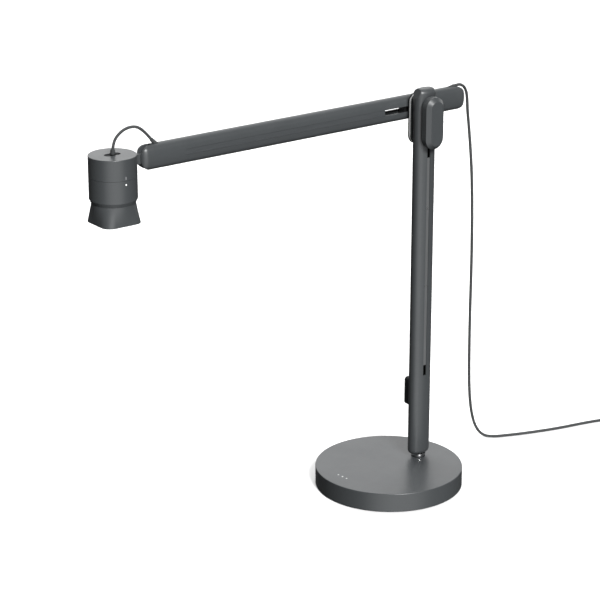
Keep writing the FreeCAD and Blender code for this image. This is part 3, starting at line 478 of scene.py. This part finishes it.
def coil_points():
    """The put-away turns: inwards on the floor, then outwards on top of them, clockwise from above."""
    points = []
    steps_low = int(round(TURNS_LOW * STEPS_PER_TURN))
    steps_high = int(round(TURNS_HIGH * STEPS_PER_TURN))
    climb_steps = CLIMB_TURN * STEPS_PER_TURN
    for step in range(steps_low + steps_high + 1):
        angle = math.radians(COIL_START_ANGLE - 360.0 * step / STEPS_PER_TURN)
        if step <= steps_low:
            share = step / steps_low
            radius = COIL_OUTER + (COIL_INNER - COIL_OUTER) * share
        else:
            share = (step - steps_low) / steps_high
            radius = COIL_INNER + (COIL_OUTER - COIL_INNER) * share
        climb = (step - steps_low + 0.5 * climb_steps) / climb_steps
        climb = min(1.0, max(0.0, climb))
        x = COIL_CENTRE[0] + radius * math.cos(angle)
        y = COIL_CENTRE[1] + radius * math.sin(angle)
        z = COIL_LOW + (COIL_HIGH - COIL_LOW) * climb * climb * (3.0 - 2.0 * climb)
        points.append((x, y, z))
    return points


def cord_curve(name, points, width, material):
    """A round cord on one smooth spline with these control points."""
    curve = bpy.data.curves.new(name, "CURVE")
    curve.dimensions = "3D"
    curve.bevel_depth = width / 2
    curve.bevel_resolution = 6
    curve.resolution_u = 8
    curve.use_fill_caps = True
    spline = curve.splines.new("NURBS")
    spline.points.add(len(points) - 1)
    for point, place in zip(spline.points, points):
        point.co = (*place, 1.0)
    spline.order_u = 3
    spline.use_endpoint_u = True
    curve.materials.append(material)
    piece = bpy.data.objects.new(name, curve)
    bpy.context.scene.collection.objects.link(piece)
    return piece


def cord_mesh(name, points, width, material):
    """The same cord as a mesh tube, with the points of its centreline."""
    line = cord_curve(name, points, 0.0, material)
    centre = bpy.data.meshes.new_from_object(line)
    path = [tuple(vertex.co) for vertex in centre.vertices]
    line.data.bevel_depth = width / 2
    skin = bpy.data.meshes.new_from_object(line)
    bpy.data.objects.remove(line)
    bpy.data.meshes.remove(centre)
    skin.name = name
    for face in skin.polygons:
        face.use_smooth = True
    piece = bpy.data.objects.new(name, skin)
    bpy.context.scene.collection.objects.link(piece)
    paint(piece, material)
    return piece, path


whole_route = CORD_ROUTE + coil_points() + TAIL_ROUTE
power_cord, cord_path = cord_mesh("power_cord", whole_route, CORD_WIDE, CORD_SKIN)
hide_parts("cord_tube", "cord_coil", "cord_tail")
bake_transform(power_cord)

lead, lead_path = cord_mesh("head_lead_loop", LEAD_ROUTE, LEAD_WIDE, CORD_SKIN)
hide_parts("head_lead")
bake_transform(lead)

# ---------------------------------------------------------------- floor and light

FLOOR_SIZE = 14.0

# Degrees; a bearing runs from +X towards +Y.
BACK_BEARING = 53.6
TABLE_BEARING = -114.0
TABLE_DIP = 24.0

# The studio's radiance.
AROUND = 0.03
BEHIND = 1.5
BELOW = 0.05
TABLE = 1.5

# Where each part of the studio sets in and is full, as the cosine of the angle from its middle.
BACK_FADE = (0.2, 0.9)
HORIZON_FADE = (-0.15, 0.05)
TABLE_FADE = (0.6, 0.98)

# Name, bearing, height and spread in degrees, strength, and whether it shows in reflections.
SUNS = (
    ("key", -104.0, 36.0, 20.0, 6.2, True),
    ("top", BACK_BEARING, 80.0, 60.0, 0.5, True),
    ("back", 68.0, 32.0, 60.0, 3.8, False),
)


def make_floor():
    """A plain pale floor that doesn't light the object itself."""
    mesh = bpy.data.meshes.new("floor")
    shape = bmesh.new()
    bmesh.ops.create_grid(shape, x_segments=2, y_segments=2, size=FLOOR_SIZE)
    shape.to_mesh(mesh)
    shape.free()
    floor = bpy.data.objects.new("floor", mesh)
    bpy.context.scene.collection.objects.link(floor)
    paper = Paper("floor_white")
    tint = paper.mix(paper.span(paper.noise(2.0), 0.0, 1.0), (0.74, 0.74, 0.74), (0.77, 0.77, 0.77))
    paper.finish(tint, Roughness=0.9)
    paper.shader.inputs["Specular IOR Level"].default_value = 0.0
    paint(floor, paper.material)
    floor.visible_diffuse = False
    floor.visible_glossy = False


def direction(bearing, height):
    """The way towards a bearing and a height above the horizon, both in degrees."""
    turn = math.radians(bearing)
    lift = math.radians(height)
    return Vector((math.cos(lift) * math.cos(turn), math.cos(lift) * math.sin(turn), math.sin(lift)))


def sun(name, bearing, height, spread, strength, gloss):
    """Light from a bearing and height, spread over an angle."""
    data = bpy.data.lights.new(name, "SUN")
    data.energy = strength
    data.angle = math.radians(spread)
    light = bpy.data.objects.new(name, data)
    light.rotation_euler = direction(bearing, height).to_track_quat("Z", "Y").to_euler()
    light.visible_glossy = gloss
    bpy.context.scene.collection.objects.link(light)


def make_world():
    """A dim studio that is brighter behind, with the glow of a lit table in front."""
    world = bpy.data.worlds.new("studio")
    world.use_nodes = True
    tree = world.node_tree
    place = tree.nodes.new("ShaderNodeTexCoord").outputs["Generated"]

    def span(axis, fade, first, second):
        """first where the view turns away from an axis, second where it is near it."""
        facing = tree.nodes.new("ShaderNodeVectorMath")
        facing.operation = "DOT_PRODUCT"
        facing.inputs[1].default_value = axis
        tree.links.new(place, facing.inputs[0])
        share = tree.nodes.new("ShaderNodeMapRange")
        share.interpolation_type = "SMOOTHSTEP"
        share.inputs["From Min"].default_value = fade[0]
        share.inputs["From Max"].default_value = fade[1]
        tree.links.new(facing.outputs["Value"], share.inputs["Value"])
        for name, value in (("To Min", first), ("To Max", second)):
            if isinstance(value, bpy.types.NodeSocket):
                tree.links.new(value, share.inputs[name])
            else:
                share.inputs[name].default_value = value
        return share.outputs["Result"]

    upper = span(direction(BACK_BEARING, 0.0), BACK_FADE, AROUND, BEHIND)
    whole = span((0.0, 0.0, 1.0), HORIZON_FADE, BELOW, upper)
    table = span(direction(TABLE_BEARING, -TABLE_DIP), TABLE_FADE, 0.0, TABLE)
    total = tree.nodes.new("ShaderNodeMath")
    tree.links.new(whole, total.inputs[0])
    tree.links.new(table, total.inputs[1])
    tree.nodes["Background"].inputs["Color"].default_value = (1.0, 1.0, 1.0, 1.0)
    tree.links.new(total.outputs[0], tree.nodes["Background"].inputs["Strength"])
    bpy.context.scene.world = world


make_floor()
make_world()
for values in SUNS:
    sun(*values)
bpy.context.scene.view_settings.view_transform = "Standard"
